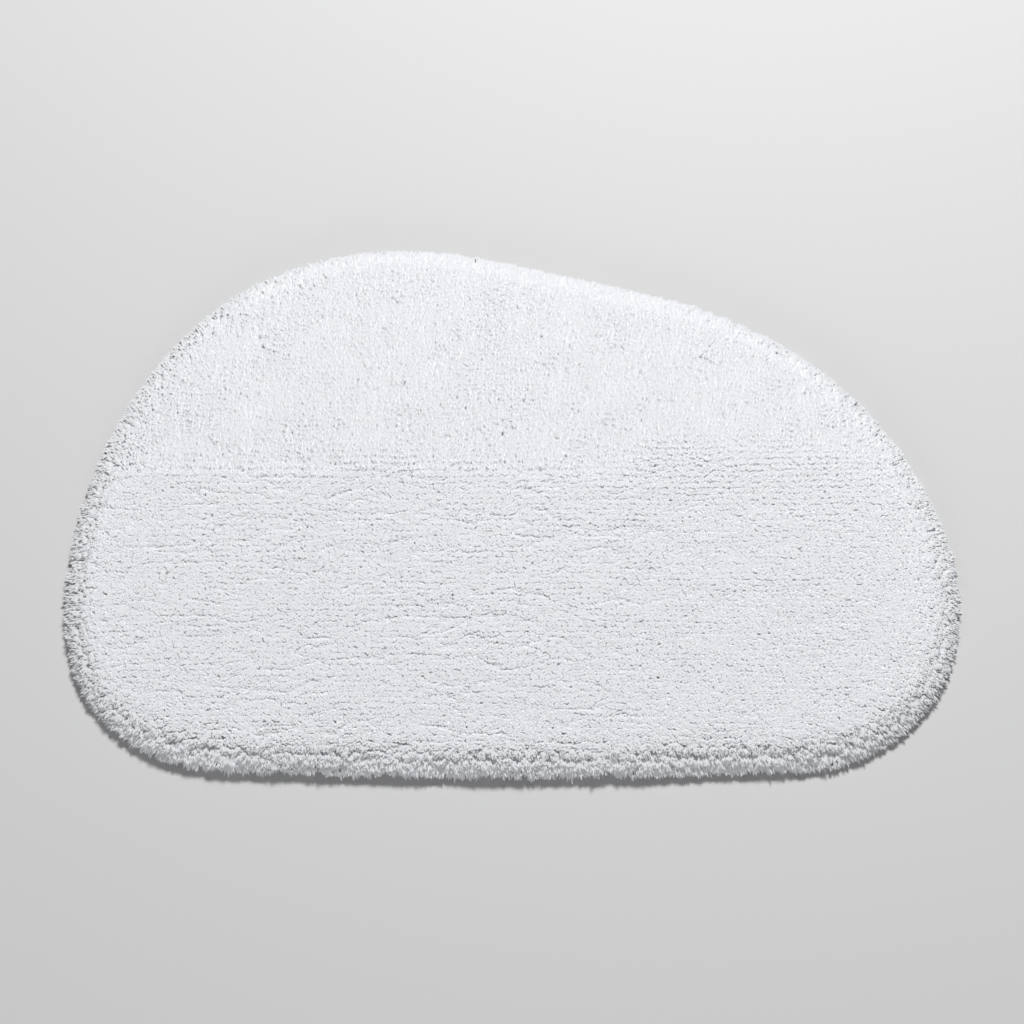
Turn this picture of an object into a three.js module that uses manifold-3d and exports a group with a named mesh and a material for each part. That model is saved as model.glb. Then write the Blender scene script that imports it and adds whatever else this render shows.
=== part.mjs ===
// Tufted cotton bath mat in a pebble outline. Units are millimetres, +Z is up, and the
// straight front edge faces -Y. From the floor up: latex coat, woven backing cloth with a
// bound hem around it, and the cut pile, whose outer tufts fan out over the hem.
// The origin is under the middle of the mat, on the floor.

import * as THREE from 'three';
import { mergeVertices } from 'three/addons/utils/BufferGeometryUtils.js';
import Module from 'manifold-3d';

const wasm = await Module();
wasm.setup();

// ---- driving dimensions -------------------------------------------------------------

// The edge of the pile, seen from above, through the points of a smooth closed curve.
const OUTLINE = [
  [-92, 253], [50, 227], [200, 183], [300, 118], [366, 30], [400, -82], [377, -180],
  [306, -238], [160, -253], [-160, -253], [-306, -239], [-378, -182], [-400, -95],
  [-386, 10], [-345, 110], [-268, 199], [-180, 242],
];
const OUTLINE_STEPS = 96;

const GAP = 0.3; // between any two pieces that touch
const MAT_HEIGHT = 24;

const ROW_PITCH = 5; // from one row of tufts to the next
const ROW_COUNT = 96;
const ROWS_PER_STRIP = 2; // neighbouring rows are joined in pairs
const BEYOND = 500; // further out than any edge of the mat

const LATEX_THICKNESS = 1.75;
const CLOTH_THICKNESS = 0.8;
const TAPE_THICKNESS = 0.5;
const THREAD_THICKNESS = 0.3;
const THREAD_WIDTH = 0.8;
const LOWER_THREAD_BOTTOM = 0.05; // clear of the floor

// Distances in from the edge of the pile.
const CLOTH_INSET = 12.1;
const TAPE_INSET = 11.3;
const TAPE_UPPER_END = 18;
const TAPE_LOWER_END = 30;
const SEAM_INSET = 27;

const LABEL = { width: 30, length: 48, thickness: 0.3, x: -60, seamEnd: -229 };

// ---- heights that follow ------------------------------------------------------------

const labelBottom = LOWER_THREAD_BOTTOM + THREAD_THICKNESS + GAP;
const tapeLower = LATEX_THICKNESS - TAPE_THICKNESS;
const clothBottom = LATEX_THICKNESS + GAP;
const clothTop = clothBottom + CLOTH_THICKNESS;
const pileBottom = clothTop + GAP;
const tapeTop = pileBottom + TAPE_THICKNESS;

// ---- outline ------------------------------------------------------------------------

const edge = new THREE.CatmullRomCurve3(
  OUTLINE.map(([x, y]) => new THREE.Vector3(x, y, 0)).reverse(), true, 'centripetal',
);
edge.arcLengthDivisions = 2000;

const edgePoints = [];
const edgeNormals = [];
for (let i = 0; i < OUTLINE_STEPS; i += 1) {
  const tangent = edge.getTangentAt(i / OUTLINE_STEPS);
  edgePoints.push(edge.getPointAt(i / OUTLINE_STEPS));
  edgeNormals.push(new THREE.Vector3(-tangent.y, tangent.x, 0)); // points into the mat
}
const middle = new THREE.Box3().setFromPoints(edgePoints).getCenter(new THREE.Vector3());
edgePoints.forEach((point) => point.sub(middle));

// One turn around the mat, a given distance in from the edge and at one height.
function ring(inset, height) {
  return edgePoints.map((point, i) => new THREE.Vector3(
    point.x + edgeNormals[i].x * inset, point.y + edgeNormals[i].y * inset, height,
  ));
}

// ---- geometry helpers ---------------------------------------------------------------

function indexedGeometry(points, faces) {
  const geometry = new THREE.BufferGeometry().setFromPoints(points);
  geometry.setIndex(faces.flat());
  return geometry;
}

// Walls between neighbouring rings. A profile is a list of [inset, height].
function walls(profile, closed) {
  const faces = [];
  const count = closed ? profile.length : profile.length - 1;
  for (let k = 0; k < count; k += 1) {
    const low = k * OUTLINE_STEPS;
    const high = ((k + 1) % profile.length) * OUTLINE_STEPS;
    for (let i = 0; i < OUTLINE_STEPS; i += 1) {
      const next = (i + 1) % OUTLINE_STEPS;
      faces.push([low + i, low + next, high + next], [low + i, high + next, high + i]);
    }
  }
  return faces;
}

// A solid slab: the profile runs from the rim of its underside to the rim of its top.
function slab(profile) {
  const rings = profile.map(([inset, height]) => ring(inset, height));
  const faces = walls(profile, false);
  const flat = (points) => points.map((p) => new THREE.Vector2(p.x, p.y));
  const topStart = (profile.length - 1) * OUTLINE_STEPS;
  THREE.ShapeUtils.triangulateShape(flat(rings[0]), []).forEach(([a, b, c]) => faces.push([c, b, a]));
  THREE.ShapeUtils.triangulateShape(flat(rings.at(-1)), [])
    .forEach(([a, b, c]) => faces.push([topStart + a, topStart + b, topStart + c]));
  return indexedGeometry(rings.flat(), faces);
}

// A band around the mat: the profile goes up its outside and down its inside.
function band(profile) {
  return indexedGeometry(profile.flatMap(([inset, height]) => ring(inset, height)), walls(profile, true));
}

function block(low, high) {
  const size = high.map((value, i) => value - low[i]);
  const geometry = new THREE.BoxGeometry(...size);
  geometry.translate(...low.map((value, i) => value + size[i] / 2));
  return geometry;
}

function toSolid(geometry) {
  const bare = geometry.clone();
  bare.deleteAttribute('normal');
  bare.deleteAttribute('uv');
  const merged = mergeVertices(bare);
  return new wasm.Manifold(new wasm.Mesh({
    numProp: 3,
    vertProperties: new Float32Array(merged.attributes.position.array),
    triVerts: new Uint32Array(merged.index.array),
  }));
}

function toGeometry(solid) {
  const mesh = solid.getMesh();
  const geometry = new THREE.BufferGeometry();
  geometry.setAttribute('position', new THREE.BufferAttribute(mesh.vertProperties, 3));
  geometry.setIndex(new THREE.BufferAttribute(mesh.triVerts, 1));
  return geometry;
}

// ---- pieces -------------------------------------------------------------------------

const matGroup = new THREE.Group();

function addPiece(name, geometry, color, roughness) {
  const flatShaded = geometry.index ? geometry.toNonIndexed() : geometry;
  flatShaded.computeVertexNormals();
  const material = new THREE.MeshStandardMaterial({ color, roughness, metalness: 0 });
  const piece = new THREE.Mesh(flatShaded, material);
  piece.name = name;
  matGroup.add(piece);
}

// The non-slip coat under the cloth, with a shallow bed for the care label.
function latexCoat() {
  const inset = TAPE_LOWER_END + GAP;
  const coat = toSolid(slab([[inset, 0], [inset, LATEX_THICKNESS]]));
  const half = LABEL.width / 2 + GAP;
  const bed = block(
    [LABEL.x - half, LABEL.seamEnd, -1],
    [LABEL.x + half, LABEL.seamEnd + LABEL.length + GAP, labelBottom + LABEL.thickness + GAP],
  );
  return toGeometry(coat.subtract(toSolid(bed)));
}

function backingCloth() {
  return slab([[CLOTH_INSET, clothBottom], [CLOTH_INSET, clothTop]]);
}

// Woven tape folded around the edge of the cloth, with a wide flap below and a narrow one above.
function hemTape() {
  return band([
    [TAPE_INSET, tapeLower], [TAPE_INSET, tapeTop],
    [TAPE_UPPER_END, tapeTop], [TAPE_UPPER_END, pileBottom],
    [TAPE_INSET + TAPE_THICKNESS, pileBottom], [TAPE_INSET + TAPE_THICKNESS, LATEX_THICKNESS],
    [TAPE_LOWER_END, LATEX_THICKNESS], [TAPE_LOWER_END, tapeLower],
  ]);
}

// One thread of the hem's lockstitch seam, as the line that its stitches follow.
function seamThread(bottom) {
  const outer = SEAM_INSET - THREAD_WIDTH / 2;
  const inner = SEAM_INSET + THREAD_WIDTH / 2;
  const top = bottom + THREAD_THICKNESS;
  return band([[outer, bottom], [outer, top], [inner, top], [inner, bottom]]);
}

function careLabel() {
  return block(
    [LABEL.x - LABEL.width / 2, LABEL.seamEnd, labelBottom],
    [LABEL.x + LABEL.width / 2, LABEL.seamEnd + LABEL.length, labelBottom + LABEL.thickness],
  );
}

// All of the pile: it stands on the cloth, clears the seam and the tape, and rounds over at the edge.
function wholePile() {
  const seamRoom = THREAD_WIDTH / 2 + GAP;
  const seamTop = pileBottom + THREAD_THICKNESS + GAP;
  const overTape = tapeTop + GAP;
  return toSolid(slab([
    [SEAM_INSET + seamRoom, pileBottom], [SEAM_INSET + seamRoom, seamTop],
    [SEAM_INSET - seamRoom, seamTop], [SEAM_INSET - seamRoom, pileBottom],
    [TAPE_UPPER_END + GAP, pileBottom], [TAPE_UPPER_END + GAP, overTape],
    [9, overTape], [2.5, 5], [0, 9], [1.5, 15], [7, 21], [18, MAT_HEIGHT],
  ]));
}

// The rows of tufts run along X. The first and the last strip take in the pile that fans out past them.
function addPileStrips() {
  const pile = wholePile();
  const stripCount = ROW_COUNT / ROWS_PER_STRIP;
  const stripWidth = ROWS_PER_STRIP * ROW_PITCH;
  for (let i = 0; i < stripCount; i += 1) {
    const start = (i - stripCount / 2) * stripWidth;
    const low = i === 0 ? -BEYOND : start + GAP / 2;
    const high = i === stripCount - 1 ? BEYOND : start + stripWidth - GAP / 2;
    const strip = pile.intersect(toSolid(block([-BEYOND, low, 0], [BEYOND, high, MAT_HEIGHT + 1])));
    const number = String(i + 1).padStart(2, '0');
    addPiece(`pile_rows_${number}`, toGeometry(strip), 'ghostwhite', 0.95);
  }
}

addPiece('latex_coat', latexCoat(), 'oldlace', 0.7);
addPiece('backing_cloth', backingCloth(), 'linen', 0.9);
addPiece('hem_tape', hemTape(), 'whitesmoke', 0.85);
addPiece('hem_thread_upper', seamThread(pileBottom), 'white', 0.6);
addPiece('hem_thread_lower', seamThread(LOWER_THREAD_BOTTOM), 'white', 0.6);
addPiece('care_label', careLabel(), 'white', 0.5);
addPileStrips();

export default matGroup;
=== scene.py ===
"""Looks of the tufted cotton bath mat.

The pile is made yarn by yarn: every row of tufts in the frame gets its tufts, and every tuft its cut yarn
ends, each a thin closed tube. The tufts stand up in the front half of the mat, lie brushed back in the
back half, and fan out over the hem at the edge. Lengths are in millimetres up to where a mesh is written,
and in metres in the materials and on the stage.
"""

import math

import bpy
import numpy as np
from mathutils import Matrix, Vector


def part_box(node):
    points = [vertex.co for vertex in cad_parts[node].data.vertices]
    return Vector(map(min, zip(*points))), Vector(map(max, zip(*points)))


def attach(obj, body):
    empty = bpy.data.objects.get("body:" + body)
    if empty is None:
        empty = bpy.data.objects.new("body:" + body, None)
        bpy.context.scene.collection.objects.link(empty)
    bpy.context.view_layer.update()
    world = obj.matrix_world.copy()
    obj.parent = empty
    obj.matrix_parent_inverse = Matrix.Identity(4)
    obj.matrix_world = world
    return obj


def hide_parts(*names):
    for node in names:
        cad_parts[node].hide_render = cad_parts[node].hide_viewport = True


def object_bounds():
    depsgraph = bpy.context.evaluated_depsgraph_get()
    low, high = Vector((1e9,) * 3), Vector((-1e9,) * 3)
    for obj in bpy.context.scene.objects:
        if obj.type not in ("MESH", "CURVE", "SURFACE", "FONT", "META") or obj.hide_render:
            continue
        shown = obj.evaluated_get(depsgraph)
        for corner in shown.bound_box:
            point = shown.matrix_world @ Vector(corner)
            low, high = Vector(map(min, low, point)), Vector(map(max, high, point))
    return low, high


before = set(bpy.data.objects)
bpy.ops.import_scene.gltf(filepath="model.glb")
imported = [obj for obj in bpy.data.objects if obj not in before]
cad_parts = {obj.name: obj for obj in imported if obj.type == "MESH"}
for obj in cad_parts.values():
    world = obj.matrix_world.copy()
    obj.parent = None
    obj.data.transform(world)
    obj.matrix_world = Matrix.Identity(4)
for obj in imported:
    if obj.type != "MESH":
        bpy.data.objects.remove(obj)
cad_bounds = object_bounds()

MM = 0.001
SEED = 407
rng = np.random.default_rng(SEED)

# ---- what the frame says ------------------------------------------------------------

STRIPS = sorted(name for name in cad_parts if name.startswith("pile_rows_"))
ROWS_PER_STRIP = 2


def box_mm(node):
    """The low and the high corner of a CAD node, in millimetres."""
    low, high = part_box(node)
    return np.array(low) / MM, np.array(high) / MM


def node_points(node):
    """The corner points of a CAD node's mesh, in millimetres."""
    points = np.array([v.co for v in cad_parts[node].data.vertices]) / MM
    return np.unique(points.round(4), axis=0)


strip_pitch = box_mm(STRIPS[3])[0][1] - box_mm(STRIPS[2])[0][1]
row_pitch = strip_pitch / ROWS_PER_STRIP
strip_gap = strip_pitch - (box_mm(STRIPS[2])[1][1] - box_mm(STRIPS[2])[0][1])
first_row_y = box_mm(STRIPS[1])[0][1] - strip_gap / 2 - strip_pitch + row_pitch / 2
pile_bottom = box_mm(STRIPS[0])[0][2]
pile_top = box_mm(STRIPS[0])[1][2]


def closed_spline(points, steps):
    """A closed Catmull-Rom curve through points, with that many steps between neighbours."""
    before, after, beyond = (np.roll(points, shift, axis=0) for shift in (1, -1, -2))
    t = (np.arange(steps) / steps)[None, :, None]
    a, b, c, d = (p[:, None, :] for p in (before, points, after, beyond))
    curve = b + 0.5 * t * (c - a + t * (2 * a - 5 * b + 4 * c - d + t * (3 * (b - c) + d - a)))
    return curve.reshape(-1, points.shape[1])


def rim_points(node):
    """The corners of a flat-topped CAD node's upper rim, seen from above."""
    points = node_points(node)
    return points[np.isclose(points[:, 2], points[:, 2].max(), atol=0.01)][:, :2]


class Edge:
    """The edge of the backing cloth, seen from above, and how far in from it a point lies."""

    def __init__(self, node):
        rim = rim_points(node)
        centre = rim.mean(0)
        order = np.argsort(np.arctan2(*(rim - centre).T[::-1]))
        self.line = closed_spline(rim[order], 8)
        along = np.roll(self.line, -1, axis=0) - np.roll(self.line, 1, axis=0)
        along /= np.linalg.norm(along, axis=1, keepdims=True)
        self.outward = np.stack([along[:, 1], -along[:, 0]], axis=1)
        steps = np.linalg.norm(np.roll(self.line, -1, axis=0) - self.line, axis=1)
        self.travelled = np.concatenate([[0], np.cumsum(steps)])
        self.length = self.travelled[-1]

    def measure(self, points):
        """(distance in from the edge, outward direction) at each point."""
        nearest = np.empty(len(points), int)
        for start in range(0, len(points), 2000):
            part = points[start:start + 2000]
            gaps = ((part[:, None, :] - self.line[None, :, :]) ** 2).sum(2)
            nearest[start:start + 2000] = gaps.argmin(1)
        outward = self.outward[nearest]
        return ((self.line[nearest] - points) * outward).sum(1), outward

    def walk(self, distances):
        """The place and the outward direction at each distance along the edge."""
        found = []
        for values in (self.line, self.outward):
            closed = np.concatenate([values, values[:1]])
            x, y = (np.interp(distances, self.travelled, side) for side in closed.T)
            found.append(np.stack([x, y], axis=1))
        return found


edge = Edge("backing_cloth")
tape_flap = edge.measure(rim_points("hem_tape"))[0].max()

# ---- noise --------------------------------------------------------------------------

def smoothstep(low, high, value):
    t = np.clip((value - low) / (high - low), 0, 1)
    return t * t * (3 - 2 * t)


def smooth_noise(x, y, cell_x, cell_y):
    """Random values from -1 to 1 on a grid of that cell size, with smooth steps between them."""
    gx = (x - x.min()) / cell_x
    gy = (y - y.min()) / cell_y
    grid = rng.uniform(-1, 1, (int(gy.max()) + 2, int(gx.max()) + 2))
    i, j = gx.astype(int), gy.astype(int)
    u, v = smoothstep(0, 1, gx - i), smoothstep(0, 1, gy - j)
    low = grid[j, i] * (1 - u) + grid[j, i + 1] * u
    high = grid[j + 1, i] * (1 - u) + grid[j + 1, i + 1] * u
    return low * (1 - v) + high * v


# ---- pile ---------------------------------------------------------------------------

TUFT_PITCH = 4.4  # along a row
JITTER_ALONG_ROW = 0.7
JITTER_ACROSS_ROW = 0.6
RIM_TUFT_PITCH = 1.6  # along the hem
RIM_TUFT_BELT = 4.9  # the belt along the hem that those tufts stand in
RIM_TUFT_MARGIN = 0.1
CROWDED_SHARE = 0.9  # of the tufts right at the edge have one more beside them
CROWDED_REACH = 18
YARNS_PER_TUFT = 11
YARN_RADIUS = 1.12
SIZE_RANGE = (0.85, 1.15)  # from yarn to yarn
TUFT_ROOT_RADIUS = 0.9
TUFT_HEAD_RADIUS = 2.75
CORE_RADIUS = 3.8
YARN_SIDES, CORE_SIDES, THREAD_SIDES = 4, 6, 8
GOLDEN_RATIO = 0.618  # its multiples spread evenly between whole numbers
GOLDEN_ANGLE = 2.39996  # in radians, from one yarn of a tuft to the next

# Where a tube's rings and its tip are along it, and how thick it is at each ring.
HEAD_RINGS, HEAD_GIRTH = (0.5, 0.8, 0.97, 1.0), (1.25, 1.25, 0.95)
RIM_RINGS, RIM_GIRTH = (0.1, 0.4, 0.7, 0.93, 1.0), (0.8, 1.0, 1.05, 0.62)
CORE_RINGS, CORE_GIRTH = (0.0, 0.5, 0.87, 0.95), (0.7, 1.0, 0.97)

# How far the shading at each ring turns from the tube's side towards its tip and the sky.
UPRIGHT_FUZZ = (0.05, 0.42, 0.7)
CALM_FUZZ = (0.14, 0.44, 0.7)
RIM_FUZZ = (0.3, 0.36, 0.5, 0.64)
CALM_RIM_FUZZ = (0.2, 0.45, 0.65, 0.8)
CORE_FUZZ = (0, 0.3, 0.7)
UPRIGHT_SKYWARD = 0.7  # how far that is to the sky, and not to the tip
LYING_SKYWARD = 1.0
CALM_RIGHT = 0.9  # how calm the shading is at the mat's right end
SMOOTH_RIGHT = 0.8  # how much of the creases is missing there

BORDER_SHARE = 0.21  # width of a clump's border, as a share of the clump
LONG_CREASE = 2.0  # how deep
SMALL_CREASE = 0.5
STREAK_DEPTH = 2.0
STREAKED_BACK = 0.85  # how much the brushed half is streaked across the rows, and not creased along them
FAN_ANGLE = 75.0  # from upright, of the tufts right at the edge
FAN_REACH = 9.5
STEEPEST_LEAN = 0.985  # the sine of the angle from upright
RIM_WIDTH = 12.0  # within it, whole yarns are seen and not only their heads
EVENING_ROUNDS = 6
BRUSHED_BACK = 9.0  # how far heads are carried back
BRUSH_LINE_Y = 24.0  # the parting: behind it the pile is brushed
LEAN_JITTER = 0.6  # from tuft to tuft
RIM_HOLD = 0.75  # how much of the nap's lean is missing right at the edge
RIM_HOLD_REACH = 7
YARN_JITTER = 0.3  # of a yarn's middle and its tip
LOOSE_REACH = 5  # how far in from the edge the tufts hang loose
DROOP_RANGE = (1, 5)
SHORTER_RANGE = (0, 2.5)  # how much shorter brushed yarns are
FULL_LENGTH = 0.965  # of a tuft, as a share of the pile's height
LOWEST_TIP = 1.0
TOP_MARGIN = 0.2  # what the highest tips stay below the CAD pile's top


def near_edge(room, reach):
    """1 right at the edge of the tufted area, and ever less further in."""
    return np.exp(-room / reach)


def lay_out_tufts():
    """Each tuft's row, place on the cloth, room (how far in from the tufted area's edge), and way out."""
    row_list, spots = [], []
    half_width = cad_bounds[1][0] / MM
    for row in range(len(STRIPS) * ROWS_PER_STRIP):
        x = np.arange(-half_width, half_width, TUFT_PITCH) + rng.uniform(0, TUFT_PITCH)
        x = x + rng.normal(0, JITTER_ALONG_ROW, len(x))
        y = first_row_y + row * row_pitch + rng.normal(0, JITTER_ACROSS_ROW, len(x))
        row_list.append(np.full(len(x), row))
        spots.append(np.stack([x, y], axis=1))
    spots = np.concatenate(spots)
    extra = [rim_tufts(), crowded_tufts(spots)]
    row_list += [np.round((more[:, 1] - first_row_y) / row_pitch).astype(int) for more in extra]
    rows, spots = np.concatenate(row_list), np.concatenate([spots, *extra])
    inset, outward = edge.measure(spots)
    room = inset - tape_flap - TUFT_ROOT_RADIUS
    kept = room > 0
    return rows[kept], spots[kept], room[kept], outward[kept]


def rim_tufts():
    """The ends of the rows, crowded together along the hem."""
    place, out = edge.walk(np.arange(0, edge.length, RIM_TUFT_PITCH))
    across_belt = GOLDEN_RATIO * np.arange(len(place)) % 1
    inset = tape_flap + TUFT_ROOT_RADIUS + RIM_TUFT_MARGIN + RIM_TUFT_BELT * across_belt
    return place - out * inset[:, None]


def crowded_tufts(spots):
    """More tufts between those near the edge, because their heads fan apart."""
    room = edge.measure(spots)[0] - tape_flap
    share = CROWDED_SHARE * near_edge(room, CROWDED_REACH)
    near = spots[(room > 0) & (rng.uniform(0, 1, len(spots)) < share)]
    return near + rng.uniform(-0.5, 0.5, near.shape) * (TUFT_PITCH, row_pitch)


def clumps(x, y, width, depth):
    """Heads press together in clumps. How close each is to its clump's border, and the clump's tone."""
    size = np.array([width, depth])
    here = np.stack([x - x.min(), y - y.min()], axis=-1).reshape(-1, 2) / size + 1
    cells = here.astype(int)
    middles = rng.uniform(0.05, 0.95, (*(cells.max(0) + 2), 2))
    tones = rng.uniform(0, 1, middles.shape[:2])
    first, second = np.full(len(here), np.inf), np.full(len(here), np.inf)
    tone, other = np.zeros(len(here)), np.zeros(len(here))
    for step in ((i, j) for i in (-1, 0, 1) for j in (-1, 0, 1)):
        i, j = (cells + step).T
        distance = np.linalg.norm(np.stack([i, j], axis=1) + middles[i, j] - here, axis=1)
        here_tone = tones[i, j]
        closest = distance < first
        runner_up = ~closest & (distance < second)
        second = np.where(closest, first, np.where(runner_up, distance, second))
        other = np.where(closest, tone, np.where(runner_up, here_tone, other))
        first = np.where(closest, distance, first)
        tone = np.where(closest, here_tone, tone)
    border = np.exp(-(second - first) / BORDER_SHARE) * np.minimum(1, 1.6 * np.abs(tone - other))
    return border.reshape(x.shape), tone.reshape(x.shape)


def sunk_tips(x, y, across_rows):
    """How far each yarn's tip sits below the others: creases along the rows, where clumps of heads meet.

    Where the tufts lie brushed, the creases turn across the rows.
    """
    wavy_x = x + 5 * smooth_noise(x, y, 14, 9)
    wavy_y = y + 3.0 * smooth_noise(x, y, 16, 10) + 1.0 * smooth_noise(x, y, 5, 5)
    long_border, long_tone = clumps(wavy_x, wavy_y, width=36, depth=10)
    small_border, small_tone = clumps(wavy_x, wavy_y, width=13, depth=7)
    creases = LONG_CREASE * long_border + SMALL_CREASE * small_border
    streak_border, streak_tone = clumps(wavy_x, wavy_y, width=6, depth=17)
    streaks = STREAK_DEPTH * (streak_border + 0.7 * streak_tone)
    along_rows = creases + 0.35 * long_tone + 0.25 * small_tone
    return along_rows * (1 - across_rows) + streaks * across_rows


def brushing(x, y):
    """How far each tuft is brushed back, how far it is calm at the right, and what the parting does to it.

    Along the parting the heads are pulled apart, and some sit lower.
    """
    line = BRUSH_LINE_Y + 3 * smooth_noise(x, 0 * y, 60, 1) + 2 * smooth_noise(x, 0 * y, 17, 1)
    blur = 7 + 60 * smoothstep(40, 220, x)
    back = smoothstep(-blur, blur, y - line)
    right = smoothstep(60, 180, x) * (1 - back)
    parting = (1 - smoothstep(20, 120, x)) * np.exp(-np.abs(y - line) / 5)
    pull = parting * np.where(y < line, -0.6, 0.4)
    sunk = 1.2 * parting * (np.abs(y - line) < 3)
    return back, right, pull, sunk


def nap_lean(x, y, room, back, right):
    """How far the nap carries each tuft's head sideways, as a share of its length: less near the edge."""
    lean_x = 2.6 * smooth_noise(x, y, 16, 9) + rng.normal(0, LEAN_JITTER, len(x)) + 3.0 * right
    lean_y = 2.4 * smooth_noise(x, y, 24, 11) + rng.normal(0, LEAN_JITTER, len(x))
    lean_y += BRUSHED_BACK * back * (1 - near_edge(room, 15)) - 0.8 * (1 - back) - 2.4 * right
    lean_x += 0.6 * back * smooth_noise(x, y, 6, 18)
    lean_y += back * (0.6 * smooth_noise(x, y, 6, 16) + 3.0 * smooth_noise(x, y, 28, 14))
    lean = np.stack([lean_x, lean_y], axis=1) / (pile_top - pile_bottom)
    return lean * (1 - RIM_HOLD * near_edge(room, RIM_HOLD_REACH))[:, None]


def fan_lean(x, y, room, outward):
    """How far each tuft near the edge leans out over the hem, because nothing there holds it up."""
    swing = np.radians(7 * smooth_noise(x, y, 9, 9) + 3 * rng.normal(size=len(x)))
    turned = np.stack([outward[:, 0] * np.cos(swing) - outward[:, 1] * np.sin(swing),
                       outward[:, 0] * np.sin(swing) + outward[:, 1] * np.cos(swing)], axis=1)
    angle = FAN_ANGLE * near_edge(room, FAN_REACH) + 4 * near_edge(room, 20) * rng.normal(size=len(x))
    return turned * np.sin(np.radians(np.clip(angle, 0, 88)))[:, None]


def tuft_lean(spots, room, outward):
    """How far each tuft's head is carried sideways, as a share of its length, and how it is brushed."""
    x, y = spots.T
    back, right, pull, sunk = brushing(x, y)
    lean = nap_lean(x, y, room, back, right)
    lean += fan_lean(x, y, room, outward)
    size = np.linalg.norm(lean, axis=1, keepdims=True)
    return lean * np.minimum(1, STEEPEST_LEAN / size), back, right, pull, sunk


def even_out(points, room, blur, step):
    """Moves heads from where they crowd to where they are thin, because each fills the room it finds."""
    for _ in range(EVENING_ROUNDS):
        low = points.min(0) - blur
        cells = (np.ptp(points, axis=0) + 2 * blur).astype(int) + 1
        crowd, _, _ = np.histogram2d(*(points - low).T, bins=cells, range=[(0, cells[0]), (0, cells[1])])
        reach = np.arange(-3 * blur, 3 * blur + 1)
        kernel = np.exp(-0.5 * (reach / blur) ** 2)
        for axis in (0, 1):
            crowd = np.apply_along_axis(np.convolve, axis, crowd, kernel / kernel.sum(), "same")
        slope = np.stack(np.gradient(crowd / crowd.mean()), axis=2)
        i, j = (points - low).astype(int).T
        points = points - step * slope[i, j] * smoothstep(3, 12, room)[:, None]
    return points


def tuft_axes(lean):
    """Three directions for each tuft: along it, and two across it."""
    up = np.sqrt(1 - (lean ** 2).sum(1))
    ahead = np.concatenate([lean, up[:, None]], axis=1)
    side = np.cross(ahead, [0.0, 1.0, 0.0])
    side /= np.linalg.norm(side, axis=1, keepdims=True)
    return ahead, side, np.cross(ahead, side)


def yarns_in_tuft(n, k):
    """Where each yarn stands across its tuft, on a disc of radius 1."""
    turn = GOLDEN_ANGLE * np.arange(k) + rng.uniform(0, 2 * math.pi, (n, 1))
    reach = np.sqrt((np.arange(k) + 0.5) / k) * rng.uniform(*SIZE_RANGE, (n, k))
    return reach * np.cos(turn), reach * np.sin(turn)


def yarn_lengths(spots, room, back, sunk, n, k):
    """The length of each yarn above the cloth: uneven near the edge, and where the pile is brushed."""
    tuft_length = (pile_top - pile_bottom) * (FULL_LENGTH + 0.02 * smooth_noise(*spots.T, 45, 30)) - sunk
    tuft_length += rng.normal(0, 0.2, n) + 1.3 * back
    uneven = 0.12 + 1.2 * near_edge(room, 6) * (1 - 0.6 * back)
    length = tuft_length[:, None] + rng.normal(0, 1, (n, k)) * uneven[:, None]
    return length - back[:, None] * rng.uniform(*SHORTER_RANGE, (n, k))


def settle_tips(tip, room, back, right, pull):
    """Evens the yarns' tips out, sinks those in creases, and lets those at the edge droop."""
    n, k, _ = tip.shape
    tip = tip + rng.normal(0, YARN_JITTER, tip.shape) * (1, 1, 0.3)
    heads = tip[..., :2].mean(1)
    tip[..., :2] += (even_out(heads, room, blur=4, step=5.0) - heads)[:, None, :]
    loose = even_out(tip[..., :2].reshape(-1, 2), np.repeat(room, k), blur=2, step=1.2)
    tip[..., :2] = loose.reshape(n, k, 2)
    tip[..., 1] += pull[:, None]
    creased = 1 - SMOOTH_RIGHT * right
    tip[..., 2] -= sunk_tips(tip[..., 0], tip[..., 1], STREAKED_BACK * back[:, None]) * creased[:, None]
    droop = near_edge(room, LOOSE_REACH)[:, None] * rng.uniform(*DROOP_RANGE, (n, k))
    tip[..., 2] = np.clip(tip[..., 2] - droop, LOWEST_TIP, pile_top - TOP_MARGIN)
    return tip


def bend_points(root, tip, length, lean, room):
    """The middle point of each yarn's curve: the yarn rises first, and then bends over."""
    lift = np.stack([0 * length, 0 * length, length * 0.5], axis=2)
    slack = 1 + 0.25 * near_edge(room, 6) * rng.normal(size=len(room))
    bend = root + lift * (slack * (1 - 0.45 * (lean ** 2).sum(1)))[:, None, None]
    bend += (0.18 + 0.2 * near_edge(room, LOOSE_REACH))[:, None, None] * (tip - root) * (1, 1, 0.3)
    return bend + rng.normal(0, YARN_JITTER, tip.shape)


def yarn_paths():
    """Each tuft's row, room and brushing, and the three points of each yarn's curve, n tufts by k yarns."""
    rows, spots, room, outward = lay_out_tufts()
    lean, back, right, pull, sunk = tuft_lean(spots, room, outward)
    ahead, side, other = tuft_axes(lean)
    n, k = len(rows), YARNS_PER_TUFT
    disc_a, disc_b = yarns_in_tuft(n, k)
    length = yarn_lengths(spots, room, back, sunk, n, k)

    base = np.concatenate([spots, np.full((n, 1), pile_bottom)], axis=1)
    root = base[:, None, :] + TUFT_ROOT_RADIUS * np.stack([disc_a, disc_b, 0 * disc_a], axis=2)
    spread = disc_a[..., None] * side[:, None, :] + disc_b[..., None] * other[:, None, :]
    head_radius = TUFT_HEAD_RADIUS * (1 + 0.5 * near_edge(room, LOOSE_REACH))
    tip = base[:, None, :] + ahead[:, None, :] * length[..., None] + head_radius[:, None, None] * spread
    tip = settle_tips(tip, room, back, right, pull)
    bend = bend_points(root, tip, length, lean, room)
    return rows, room, back, right, root, bend, tip


# ---- meshes -------------------------------------------------------------------------

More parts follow.
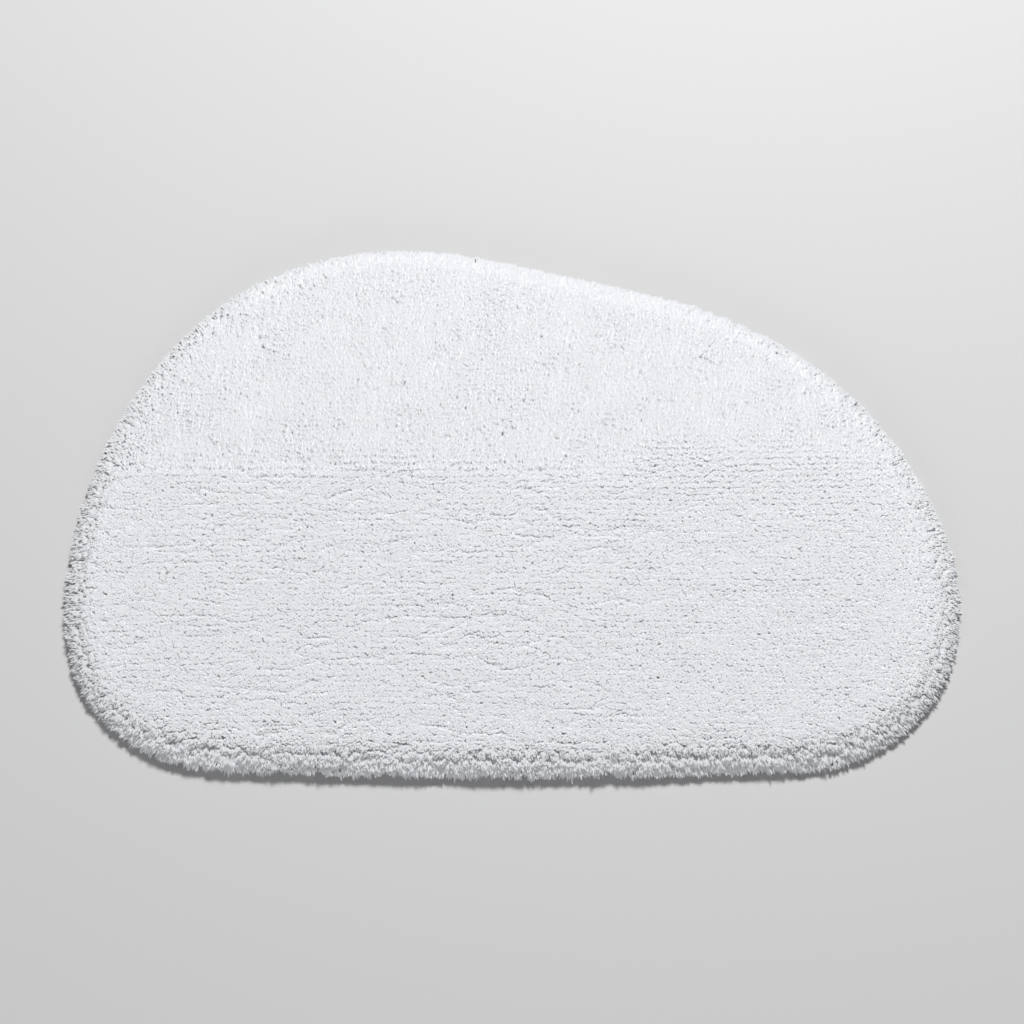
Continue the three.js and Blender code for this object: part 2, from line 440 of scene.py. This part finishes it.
def new_mesh(name, verts, loops, totals, places):
    """A mesh from its points in millimetres, its faces' corners, and each corner's place in the UV map."""
    mesh = bpy.data.meshes.new(name)
    mesh.vertices.add(len(verts))
    mesh.vertices.foreach_set("co", (verts * MM).astype(np.float32).ravel())
    mesh.loops.add(len(loops))
    mesh.loops.foreach_set("vertex_index", loops.astype(np.int32))
    mesh.polygons.add(len(totals))
    mesh.polygons.foreach_set("loop_start", (np.cumsum(totals) - totals).astype(np.int32))
    mesh.update(calc_edges=True)
    mesh.polygons.foreach_set("use_smooth", totals <= 4)
    mesh.uv_layers.new(name="OFBake").data.foreach_set("uv", places.astype(np.float32).ravel())
    return mesh


def set_vectors(mesh, name, vectors):
    mesh.attributes.new(name, "FLOAT_VECTOR", "POINT").data.foreach_set(
        "vector", vectors.astype(np.float32).ravel())


class TubeMesh:
    """Gathers closed tubes into one mesh, each with a tone and a place of its own in the UV map.

    No tube may run along the reference direction.
    """

    def __init__(self, reference=(0.0, 1.0, 0.0)):
        self.reference = reference
        self.verts, self.shading, self.yarns = [], [], []
        self.loops, self.totals, self.corners = [], [], []
        self.vertex_count = 0
        self.tube_count = 0

    def add(self, path, radius, tone, at, girth, fuzz, sides, skyward=UPRIGHT_SKYWARD):
        """Tubes along path's curves: rings at the shares `at` of the way, a foot, and a tip at `at`'s last.

        Fuzz is how far each ring's shading turns from the tube's side towards its tip and the sky, because
        the loose fibres there scatter light every way. Fuzz and skyward may differ from tube to tube.
        """
        root, bend, tip = path
        n, rings = len(root), len(girth)
        t = np.array(at)[None, :, None]
        points = (1 - t) ** 2 * root[:, None] + 2 * t * (1 - t) * bend[:, None] + t ** 2 * tip[:, None]
        along = (1 - t) * (bend - root)[:, None] + t * (tip - bend)[:, None]
        along /= np.linalg.norm(along, axis=2, keepdims=True)
        across = np.cross(along, self.reference)
        across /= np.linalg.norm(across, axis=2, keepdims=True)
        third = np.cross(along, across)
        turn = (2 * math.pi * np.arange(sides) / sides)[None, None, :, None]
        ring = np.cos(turn) * across[:, :rings, None, :] + np.sin(turn) * third[:, :rings, None, :]
        size = radius[:, None, None, None] * np.array(girth)[None, :, None, None]
        shell = points[:, :rings, None, :] + size * ring
        verts = np.concatenate([shell.reshape(n, rings * sides, 3), points[:, -1:, :]], axis=1)
        fuzz = np.broadcast_to(fuzz, (n, rings))[..., None, None]
        skyward = np.broadcast_to(skyward, n)[:, None, None]
        loose = along * (1 - skyward) + np.array([0.0, 0.0, 1.0]) * skyward
        shading = (1 - fuzz) * ring + fuzz * loose[:, :rings, None, :]
        shading = np.concatenate([shading.reshape(n, rings * sides, 3), loose[:, -1:, :]], axis=1)
        # Each point's share of the way along its tube, and the tube's two tones; in the pile that share
        # drives painted shade, darker towards the root.
        yarn = np.zeros(verts.shape)
        yarn[..., 0] = np.append(np.repeat(at[:rings], sides), at[-1])
        yarn[..., 1:] = tone[:, None, :]

        corners, totals = tube_faces(rings, sides, at)
        loops = corners[:, 0].astype(int)[None] + np.arange(n)[:, None] * verts.shape[1] + self.vertex_count
        place = np.repeat(corners[None, :, 1:], n, axis=0)
        index = np.repeat(np.arange(n) + self.tube_count, len(corners))
        self.verts.append(verts.reshape(-1, 3))
        self.shading.append(shading.reshape(-1, 3))
        self.yarns.append(yarn.reshape(-1, 3))
        self.loops.append(loops.ravel())
        self.totals.append(np.tile(totals, n))
        self.corners.append(np.column_stack([index, place.reshape(-1, 2)]))
        self.vertex_count += n * verts.shape[1]
        self.tube_count += n

    def mesh(self, name):
        verts, shading, yarns, loops, totals, corners = (np.concatenate(v) for v in (
            self.verts, self.shading, self.yarns, self.loops, self.totals, self.corners))
        across = math.ceil(math.sqrt(self.tube_count))
        cell = np.stack([corners[:, 0] % across, corners[:, 0] // across], axis=1)
        mesh = new_mesh(name, verts, loops, totals, (cell + 0.1 + 0.8 * corners[:, 1:]) / across)
        set_vectors(mesh, "custom_normal", shading / np.linalg.norm(shading, axis=1, keepdims=True))
        set_vectors(mesh, "yarn", yarns)
        return mesh


def tube_faces(rings, sides, at):
    """The corners of one tube's faces as (vertex, u, v), and how many corners each face has."""
    corners, totals = [], []
    for k in range(rings - 1):
        for s in range(sides):
            for ring, step in ((k, s), (k, s + 1), (k + 1, s + 1), (k + 1, s)):
                corners.append((ring * sides + step % sides, step / sides, at[ring]))
            totals.append(4)
    last = rings - 1
    for s in range(sides):
        for step in (s, s + 1):
            corners.append((last * sides + step % sides, step / sides, at[last]))
        corners.append((rings * sides, (s + 0.5) / sides, at[-1]))
        totals.append(3)
    for s in reversed(range(sides)):
        corners.append((s, s / sides, at[0] * (s % 2)))
    totals.append(sides)
    return np.array(corners), np.array(totals)


def tufts_mesh(name, chosen, room, back, right, root, bend, tip, tones):
    """The tufts of one strip. Inside the mat only their heads show, so each stands on one thick core."""
    tubes = TubeMesh()
    rim = chosen & (room < RIM_WIDTH)
    settled = np.where(rim, smoothstep(1, 0.8 * RIM_WIDTH, room), CALM_RIGHT * right)
    for group, rings, girth, upright_fuzz, calm_fuzz in (
            (chosen & ~rim, HEAD_RINGS, HEAD_GIRTH, UPRIGHT_FUZZ, CALM_FUZZ),
            (rim, RIM_RINGS, RIM_GIRTH, RIM_FUZZ, CALM_RIM_FUZZ)):
        path = [points[group].reshape(-1, 3) for points in (root, bend, tip)]
        lying = np.repeat(back[group], YARNS_PER_TUFT)
        calm = np.maximum(lying, np.repeat(settled[group], YARNS_PER_TUFT))
        fuzz = np.outer(1 - calm, upright_fuzz) + np.outer(calm, calm_fuzz)
        skyward = UPRIGHT_SKYWARD + (LYING_SKYWARD - UPRIGHT_SKYWARD) * lying
        radius = YARN_RADIUS * rng.uniform(*SIZE_RANGE, len(path[0]))
        tone = np.stack([rng.uniform(0, 1, len(radius)), np.repeat(tones[group], YARNS_PER_TUFT)], axis=1)
        tubes.add(path, radius, tone, rings, girth, fuzz, YARN_SIDES, skyward)
    path = [points[chosen].mean(1) for points in (root, bend, tip)]
    swell, shrink = 0.3 * near_edge(room[chosen], 16), 0.9 * near_edge(room[chosen], LOOSE_REACH)
    radius = CORE_RADIUS * (1 + swell - shrink)
    tone = np.stack([tones[chosen], tones[chosen]], axis=1)
    tubes.add(path, radius, tone, CORE_RINGS, CORE_GIRTH, CORE_FUZZ, CORE_SIDES)
    return tubes.mesh(name)


# ---- cloth, coat, tape, seam and label ----------------------------------------------

BACKING_COLUMNS = 200
LATEX_COLUMNS = 126
LATEX_STEPS_PER_ROW = 4
LATEX_RIDGE = 0.5
LATEX_FLOOR = 0.05  # how far its ridges stay above the floor
TAPE_STEP = 1.6
TAPE_JOIN = 0.2  # the gap where its ends meet
TAPE_PUCKER = 0.1
LOWER_FLAP_POINTS, FOLD_POINTS, UPPER_FLAP_POINTS = 12, 9, 5
STITCH_PITCH = 3.2
STITCH_LENGTH = 2.9
STITCH_RINGS, STITCH_GIRTH = (0.0, 0.1, 0.3, 0.5, 0.7, 0.9, 1.0), (0.7, 1.0, 1.0, 1.0, 1.0, 1.0)
THREAD_RADIUS = 0.15
LABEL_ROWS, LABEL_COLUMNS = 49, 31
LABEL_CORNER = 2.5
LABEL_CURL = 0.35


def fill_rows(rows, left, right, columns):
    """A grid of points whose rows run from left to right."""
    across = np.linspace(0, 1, columns)
    x = left[:, None] * (1 - across) + right[:, None] * across
    return x, np.repeat(rows[:, None], columns, axis=1)


def fill_outline(inset, pitch, columns):
    """A grid of points that fills the mat's outline, moved in from the cloth's edge, with rows along X."""
    line = edge.line - edge.outward * inset
    low, high = line[:, 1].min() + 0.02, line[:, 1].max() - 0.02
    start = low + (first_row_y - low) % pitch
    rows = np.concatenate([[low], np.arange(start + pitch * 0.1, high, pitch), [high]])
    ends = []
    for side in (edge.outward[:, 0] < 0, edge.outward[:, 0] > 0):
        points = line[side][np.argsort(line[side][:, 1])]
        ends.append(np.interp(rows, points[:, 1], points[:, 0]))
    return fill_rows(rows, *ends, columns)


def sheet_mesh(name, x, y, low, high):
    """A closed sheet: one grid of points at two heights, joined at the rim."""
    count = x.size
    index = np.arange(count).reshape(x.shape)
    quads = np.stack([index[:-1, :-1], index[:-1, 1:], index[1:, 1:], index[1:, :-1]], axis=-1)
    quads = quads.reshape(-1, 4)
    rim = np.concatenate([index[0, :-1], index[:-1, -1], index[-1, :0:-1], index[:0:-1, 0]])
    ahead = np.roll(rim, -1)
    wall = np.stack([rim, ahead, ahead + count, rim + count], axis=1)
    faces = np.concatenate([quads[:, ::-1], quads + count, wall])
    verts = np.concatenate([np.stack([x, y, z + 0 * x], axis=-1).reshape(-1, 3) for z in (low, high)])
    v, u = (np.indices(x.shape) / (np.array(x.shape) - 1)[:, None, None]).reshape(2, -1)
    place = np.stack([np.concatenate([0.48 * u, 0.52 + 0.48 * u]), np.concatenate([v, v])], axis=1)
    mapped = np.concatenate([faces[:-len(rim)], np.stack([rim, ahead, ahead, rim], axis=1)])
    return new_mesh(name, verts, faces.ravel(), np.full(len(faces), 4), place[mapped.ravel()])


def edge_steps(pitch, join=0):
    """Even steps once around the edge, up to a join: each one's distance, place and outward direction."""
    at = np.linspace(0, edge.length - join, round(edge.length / pitch) + 1)
    place, out = edge.walk(at)
    return at, place, out / np.linalg.norm(out, axis=1, keepdims=True)


def seam_inset():
    """How far in from the cloth's edge the hem's seam runs."""
    return edge.measure(node_points("hem_thread_lower")[:, :2])[0].mean()


def tape_profile():
    """The tape's cross-section as (inset, height): in along its outside, then back along its inside."""
    points = node_points("hem_tape")
    inset = edge.measure(points[:, :2])[0]
    bottom, top = points[:, 2].min(), points[:, 2].max()
    thickness = top - np.unique(points[:, 2].round(3))[-2]
    middle, radius = (bottom + top) / 2, (top - bottom) / 2
    turn = np.linspace(-math.pi / 2, math.pi / 2, FOLD_POINTS)[1:-1]
    centre = inset.min() + radius
    outer, inner = [], []
    for side, reach in ((outer, radius), (inner, radius - thickness)):
        side += [(i, middle - reach) for i in np.linspace(inset.max(), centre, LOWER_FLAP_POINTS)]
        side += [(centre - reach * math.cos(a), middle + reach * math.sin(a)) for a in turn]
        side += [(i, middle + reach) for i in np.linspace(centre, tape_flap, UPPER_FLAP_POINTS)]
    return np.array(outer + inner[::-1])


def tape_mesh(name):
    """Tape folded around the cloth's edge, its ends butted, drawn in a little at every stitch."""
    at, place, out = edge_steps(TAPE_STEP, TAPE_JOIN)
    profile = tape_profile()
    inset, height = profile.T
    lower = height < height.mean()
    near_seam = np.exp(-((inset - seam_inset()) / 1.5) ** 2) * lower
    pucker = TAPE_PUCKER * near_seam * (1 + np.cos(2 * math.pi * at / STITCH_PITCH))[:, None]
    soft = 0.06 * np.sin(at / 11)[:, None] * smoothstep(2, 8, inset)
    z = height + pucker + soft
    xy = place[:, None, :] - out[:, None, :] * inset[None, :, None]
    verts = np.concatenate([xy, z[..., None]], axis=2)
    n, k = z.shape
    i, j = np.meshgrid(np.arange(n - 1), np.arange(k), indexing="ij")
    sides = [np.stack([i + a, j + b], axis=-1) for a, b in ((0, 0), (0, 1), (1, 1), (1, 0))]
    ends = [[(0, j) for j in reversed(range(k))], [(n - 1, j) for j in range(k)]]
    corners = np.concatenate([np.stack(sides, axis=2).reshape(-1, 2), *ends])
    totals = np.append(np.full((n - 1) * k, 4), [k, k])
    loops = corners[:, 0] * k + corners[:, 1] % k
    mesh = new_mesh(name, verts.reshape(-1, 3), loops, totals, corners / (n, k))
    round_section = np.concatenate([[0], np.cumsum(np.linalg.norm(np.diff(profile, axis=0), axis=1))])
    ribbon = np.stack([*np.meshgrid(at, round_section, indexing="ij"), 0 * z], axis=-1)
    set_vectors(mesh, "ribbon", ribbon.reshape(-1, 3))
    return mesh


def stitches_mesh(name, sunk, proud):
    """The stitches of one thread: each comes out of the cloth, lies along the seam, and goes back in."""
    _, place, out = (v[:-1] for v in edge_steps(STITCH_PITCH))
    middle = place - out * seam_inset()
    along = np.stack([-out[:, 1], out[:, 0]], axis=1) * STITCH_LENGTH / 2
    start, end = (np.column_stack([middle + side * along, np.full(len(middle), sunk)]) for side in (-1, 1))
    bend = np.column_stack([middle, 2 * proud(*middle.T) - sunk + 0 * middle[:, 0]])
    tone = rng.uniform(0, 1, (len(middle), 2))
    stitches = TubeMesh(reference=(0.0, 0.0, 1.0))
    stitches.add([start, bend, end], np.full(len(middle), THREAD_RADIUS), tone,
                 STITCH_RINGS, STITCH_GIRTH, fuzz=0, sides=THREAD_SIDES, skyward=0)
    return stitches.mesh(name)


def label_mesh(name):
    """A label with round corners, whose loose end hangs a little."""
    low, high = box_mm("care_label")
    rows = np.linspace(low[1], high[1], LABEL_ROWS)
    corner = np.clip(LABEL_CORNER - np.minimum(rows - low[1], high[1] - rows), 0, LABEL_CORNER)
    drawn_in = LABEL_CORNER - np.sqrt(LABEL_CORNER ** 2 - corner ** 2)
    x, y = fill_rows(rows, low[0] + drawn_in, high[0] - drawn_in, LABEL_COLUMNS)
    loose = (y - low[1]) / (high[1] - low[1])
    sag = -LABEL_CURL * loose ** 2 + 0.04 * np.sin(x / 4) * loose
    return sheet_mesh(name, x, y, low[2] + sag, high[2] + sag)


def backing_mesh(name):
    low, high = box_mm("backing_cloth")
    x, y = fill_outline(0.05, row_pitch, BACKING_COLUMNS)
    sag = 0.05 * smooth_noise(x, y, 30, 30)
    return sheet_mesh(name, x, y, low[2] + sag, high[2] + sag)


def latex_mesh(name):
    """The coat follows the back of every row of tufts as a ridge, and leaves the label its bed."""
    high = box_mm("latex_coat")[1]
    inset = edge.measure(rim_points("latex_coat"))[0].min()
    x, y = fill_outline(inset, row_pitch / LATEX_STEPS_PER_ROW, LATEX_COLUMNS)
    valley = 1 - np.abs(np.cos(math.pi * (y - first_row_y) / row_pitch))
    low = LATEX_FLOOR + LATEX_RIDGE * valley + 0.12 * (1 + smooth_noise(x, y, 9, row_pitch))
    room = edge.measure(np.stack([x, y], axis=-1).reshape(-1, 2))[0].reshape(x.shape) - inset
    low = low + 0.9 * (1 - smoothstep(0, 3, room)) * (high[2] - low)
    label_low, label_high = box_mm("care_label")
    bed = smoothstep(label_low[0] - 4, label_low[0] - 1, x)
    bed = bed * (1 - smoothstep(label_high[0] + 1, label_high[0] + 4, x))
    bed = bed * (1 - smoothstep(label_high[1] + 1, label_high[1] + 4, y))
    low = low * (1 - bed) + (label_high[2] + 0.35) * bed
    return sheet_mesh(name, x, y, low, np.full(x.shape, high[2]))


# ---- materials ----------------------------------------------------------------------

WEAVE_PITCH = 0.0012
SATIN_PITCH, SATIN_FLOAT = 0.0003, 0.0009  # across the threads and along them
TAPE_RIB_PITCH, TAPE_BAND = 1.3, 3.0  # in millimetres, as in the tape's own ribbon attribute


def new_material(name, **values):
    material = bpy.data.materials.new(name)
    material.use_nodes = True
    shader = material.node_tree.nodes["Principled BSDF"]
    for socket, value in values.items():
        shader.inputs[socket.replace("_", " ")].default_value = value
    return material.node_tree, shader, material


def attribute(tree, name):
    """The three numbers of a mesh attribute."""
    source = tree.nodes.new("ShaderNodeAttribute")
    source.attribute_name = name
    parts = tree.nodes.new("ShaderNodeSeparateXYZ")
    tree.links.new(source.outputs["Vector"], parts.inputs[0])
    return [parts.outputs[axis] for axis in "XYZ"]


def place_on_mat(tree):
    """The place in the piece's own frame, in metres, as one vector and as three numbers."""
    source = tree.nodes.new("ShaderNodeTexCoord")
    parts = tree.nodes.new("ShaderNodeSeparateXYZ")
    tree.links.new(source.outputs["Object"], parts.inputs[0])
    return source.outputs["Object"], [parts.outputs[axis] for axis in "XYZ"]


def maths(tree, operation, *values):
    node = tree.nodes.new("ShaderNodeMath")
    node.operation = operation
    for socket, value in zip(node.inputs, values):
        if isinstance(value, (int, float)):
            socket.default_value = value
        else:
            tree.links.new(value, socket)
    return node.outputs["Value"]


def ripple(tree, distance, pitch):
    """A wave from 0 to 1 that repeats at that pitch."""
    turn = maths(tree, "MULTIPLY", distance, 2 * math.pi / pitch)
    return maths(tree, "MULTIPLY_ADD", maths(tree, "SINE", turn), 0.5, 0.5)


def mottle(tree, vector, scale, detail=4.0):
    noise = tree.nodes.new("ShaderNodeTexNoise")
    noise.inputs["Scale"].default_value = scale
    noise.inputs["Detail"].default_value = detail
    tree.links.new(vector, noise.inputs["Vector"])
    return noise.outputs["Fac"]


def tint(tree, factor, dark, pale, end=1.0):
    """A colour between dark, where the factor is 0, and pale, where it reaches end."""
    ramp = tree.nodes.new("ShaderNodeValToRGB")
    ramp.color_ramp.elements[0].color = (*dark, 1)
    ramp.color_ramp.elements[1].color = (*pale, 1)
    ramp.color_ramp.elements[1].position = end
    tree.links.new(factor, ramp.inputs["Fac"])
    return ramp.outputs["Color"]


def paint(tree, shader, factor, dark, pale):
    tree.links.new(tint(tree, factor, dark, pale), shader.inputs["Base Color"])


def relief(tree, shader, height, depth):
    bump = tree.nodes.new("ShaderNodeBump")
    bump.inputs["Distance"].default_value = depth
    tree.links.new(height, bump.inputs["Height"])
    tree.links.new(bump.outputs["Normal"], shader.inputs["Normal"])


def cotton_pile():
    """White cut cotton, with painted shade: darker and a little cooler towards the root, deep in the pile,
    and small differences from yarn to yarn.
    """
    tree, shader, material = new_material(
        "cotton_pile", Roughness=0.9, Specular_IOR_Level=0.25, Sheen_Weight=0.25, Sheen_Roughness=0.6)
    height, tone, _ = attribute(tree, "yarn")
    shade = tree.nodes.new("ShaderNodeVectorMath")
    shade.operation = "SCALE"
    # painted shade: the colour darkens and cools from the tips down to the roots
    tree.links.new(tint(tree, height, (0.91, 0.917, 0.945), (0.94, 0.945, 0.97), 0.8), shade.inputs[0])
    tree.links.new(maths(tree, "MULTIPLY_ADD", tone, 0.04, 0.96), shade.inputs["Scale"])
    tree.links.new(shade.outputs["Vector"], shader.inputs["Base Color"])
    return material


def plain_weave():
    """Off-white cloth, with each warp thread over one weft thread and under the next."""
    tree, shader, material = new_material("backing_plain_weave", Roughness=0.9, Sheen_Weight=0.1)
    place, (x, y, _) = place_on_mat(tree)
    threads = maths(tree, "MULTIPLY", ripple(tree, x, WEAVE_PITCH), ripple(tree, y, WEAVE_PITCH))
    uneven = maths(tree, "MULTIPLY_ADD", mottle(tree, place, 300), 0.6, threads)
    paint(tree, shader, uneven, (0.60, 0.57, 0.50), (0.80, 0.78, 0.72))
    relief(tree, shader, threads, 0.0003)
    return material


def latex():
    """Cream latex, darker and paler in soft clouds, with a fine pebbled skin."""
    tree, shader, material = new_material("latex_film", Roughness=0.5, Specular_IOR_Level=0.4)
    place, _ = place_on_mat(tree)
    clouds = mottle(tree, place, 45)
    grain = mottle(tree, place, 900, 2.0)
    paint(tree, shader, clouds, (0.62, 0.58, 0.48), (0.74, 0.71, 0.62))
    tree.links.new(maths(tree, "MULTIPLY_ADD", grain, 0.25, 0.4), shader.inputs["Roughness"])
    relief(tree, shader, grain, 0.0003)
    return material


def herringbone_tape():
    """White cotton tape: diagonal ribs that change direction in bands along it."""
    tree, shader, material = new_material("herringbone_tape", Roughness=0.85, Sheen_Weight=0.15)
    place, _ = place_on_mat(tree)
    along, across, _ = attribute(tree, "ribbon")
    zigzag = maths(tree, "PINGPONG", across, TAPE_BAND)
    ribs = ripple(tree, maths(tree, "ADD", along, zigzag), TAPE_RIB_PITCH)
    worn = maths(tree, "MULTIPLY_ADD", mottle(tree, place, 220), 0.5, ribs)
    paint(tree, shader, worn, (0.68, 0.69, 0.71), (0.86, 0.87, 0.89))
    relief(tree, shader, ribs, 0.0003)
    return material


def sewing_thread():
    """White polyester thread, each stitch a little different."""
    tree, shader, material = new_material("sewing_thread", Roughness=0.5, Sheen_Weight=0.2)
    along, tone, _ = attribute(tree, "yarn")
    twist = ripple(tree, along, 0.12)
    uneven = maths(tree, "MULTIPLY_ADD", tone, 0.3, twist)
    paint(tree, shader, uneven, (0.74, 0.74, 0.76), (0.90, 0.90, 0.91))
    return material


def satin_label():
    """Blank white satin: fine floats of thread under a faint mottle."""
    tree, shader, material = new_material("satin_label", Roughness=0.4, Sheen_Weight=0.3)
    place, (x, y, _) = place_on_mat(tree)
    floats = maths(tree, "MULTIPLY", ripple(tree, x, SATIN_PITCH), ripple(tree, y, SATIN_FLOAT))
    uneven = maths(tree, "MULTIPLY_ADD", floats, 0.4, mottle(tree, place, 150))
    paint(tree, shader, uneven, (0.80, 0.80, 0.77), (0.91, 0.91, 0.89))
    relief(tree, shader, floats, 0.0001)
    return material


def floor_material():
    _, shader, material = new_material("pale_floor", Roughness=0.6)
    shader.inputs["Base Color"].default_value = FLOOR_COLOUR
    return material


# ---- pieces -------------------------------------------------------------------------

def add_piece(name, mesh, material, slot, *nodes):
    """A piece of the part that rides on the body and stands for those CAD nodes."""
    piece = bpy.data.objects.new(name, mesh)
    bpy.context.scene.collection.objects.link(piece)
    mesh.materials.append(material)
    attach(piece, "root")
    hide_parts(*nodes)
    return piece


def add_pile():
    material = cotton_pile()
    rows, *shape = yarn_paths()
    tones = rng.uniform(0, 1, len(rows))
    for i, node in enumerate(STRIPS):
        name = node.replace("pile_rows", "tufts")
        mesh = tufts_mesh(name, rows // ROWS_PER_STRIP == i, *shape, tones)
        add_piece(name, mesh, material, "pile", node)


def add_cloth_and_coat():
    cloth = backing_mesh("backing_weave")
    backing = add_piece("backing_weave", cloth, plain_weave(), "backing", "backing_cloth")
    coat = add_piece("latex_ridges", latex_mesh("latex_ridges"), latex(), "latex", "latex_coat")


def add_hem():
    tape = add_piece("tape_binding", tape_mesh("tape_binding"), herringbone_tape(), "tape", "hem_tape")
    section = np.linalg.norm(np.diff(tape_profile(), axis=0), axis=1).sum()

    thread = sewing_thread()
    cloth_top = box_mm("backing_cloth")[1][2]
    upper = stitches_mesh("stitches_upper", cloth_top, lambda x, y: cloth_top + 3 * THREAD_RADIUS)
    add_piece("stitches_upper", upper, thread, "thread", "hem_thread_upper")
    tape_bottom = box_mm("hem_tape")[0][2]
    label_low, label_high = box_mm("care_label")

    def under_tape_or_label(x, y):
        on_label = (x > label_low[0] - 1) & (x < label_high[0] + 1) & (y < label_high[1])
        return np.where(on_label, label_low[2], tape_bottom) - 1.3 * THREAD_RADIUS

    lower = stitches_mesh("stitches_lower", tape_bottom + 0.1, under_tape_or_label)
    add_piece("stitches_lower", lower, thread, "thread", "hem_thread_lower")
    label = add_piece("label_satin", label_mesh("label_satin"), satin_label(), "label", "care_label")


# ---- stage --------------------------------------------------------------------------

FLOOR_HALF = 6.0
FLOOR_COLOUR = (0.73, 0.73, 0.73, 1)
CAMERA_LENS = 85.15
CAMERA_ELEVATION = 70
CAMERA_DISTANCE = 2.2
CAMERA_TARGET = (0, -0.0051, 0)
DAYLIGHT = (0.95, 0.97, 1, 1)
DAYLIGHT_STRENGTH = 0.125


def add_floor():
    mesh = bpy.data.meshes.new("floor")
    corners = [(FLOOR_HALF * x, FLOOR_HALF * y, 0) for x, y in ((-1, -1), (1, -1), (1, 1), (-1, 1))]
    mesh.from_pydata(corners, [], [(0, 1, 2, 3)])
    floor = bpy.data.objects.new("floor", mesh)
    bpy.context.scene.collection.objects.link(floor)
    mesh.materials.append(floor_material())


def direction(azimuth, elevation):
    """Unit vector from the mat: azimuth 0 is towards -Y, 90 towards +X."""
    a, e = math.radians(azimuth), math.radians(elevation)
    return np.array([math.sin(a) * math.cos(e), -math.cos(a) * math.cos(e), math.sin(e)])


def aim(thing, place, target):
    thing.location = place
    thing.rotation_euler = (Vector(target) - Vector(place)).to_track_quat("-Z", "Y").to_euler()


def add_light(name, azimuth, elevation, distance, size, power):
    light = bpy.data.lights.new(name, "AREA")
    light.shape = "DISK"
    light.size = size
    light.energy = power
    lamp = bpy.data.objects.new(name, light)
    bpy.context.scene.collection.objects.link(lamp)
    aim(lamp, direction(azimuth, elevation) * distance, (0, 0, 0))


def add_camera():
    camera = bpy.data.cameras.new("camera")
    camera.sensor_width = 36
    camera.lens = CAMERA_LENS
    holder = bpy.data.objects.new("camera", camera)
    bpy.context.scene.collection.objects.link(holder)
    place = np.array(CAMERA_TARGET) + direction(0, CAMERA_ELEVATION) * CAMERA_DISTANCE
    aim(holder, place, CAMERA_TARGET)
    bpy.context.scene.camera = holder


def add_lights():
    add_light("key", azimuth=170, elevation=50, distance=4.5, size=1.0, power=187)
    add_light("front", azimuth=-10, elevation=11, distance=3.5, size=2.0, power=45)


def add_world():
    world = bpy.data.worlds.new("studio")
    world.use_nodes = True
    background = world.node_tree.nodes["Background"]
    background.inputs["Color"].default_value = DAYLIGHT
    background.inputs["Strength"].default_value = DAYLIGHT_STRENGTH
    bpy.context.scene.world = world


def set_view():
    """Light has to bounce often enough to reach down between white yarns."""
    bpy.context.scene.view_settings.view_transform = "Standard"
    bpy.context.scene.cycles.diffuse_bounces = 12
    bpy.context.scene.cycles.max_bounces = 14


add_camera()
add_floor()
add_lights()
add_world()
set_view()
add_pile()
add_cloth_and_coat()
add_hem()
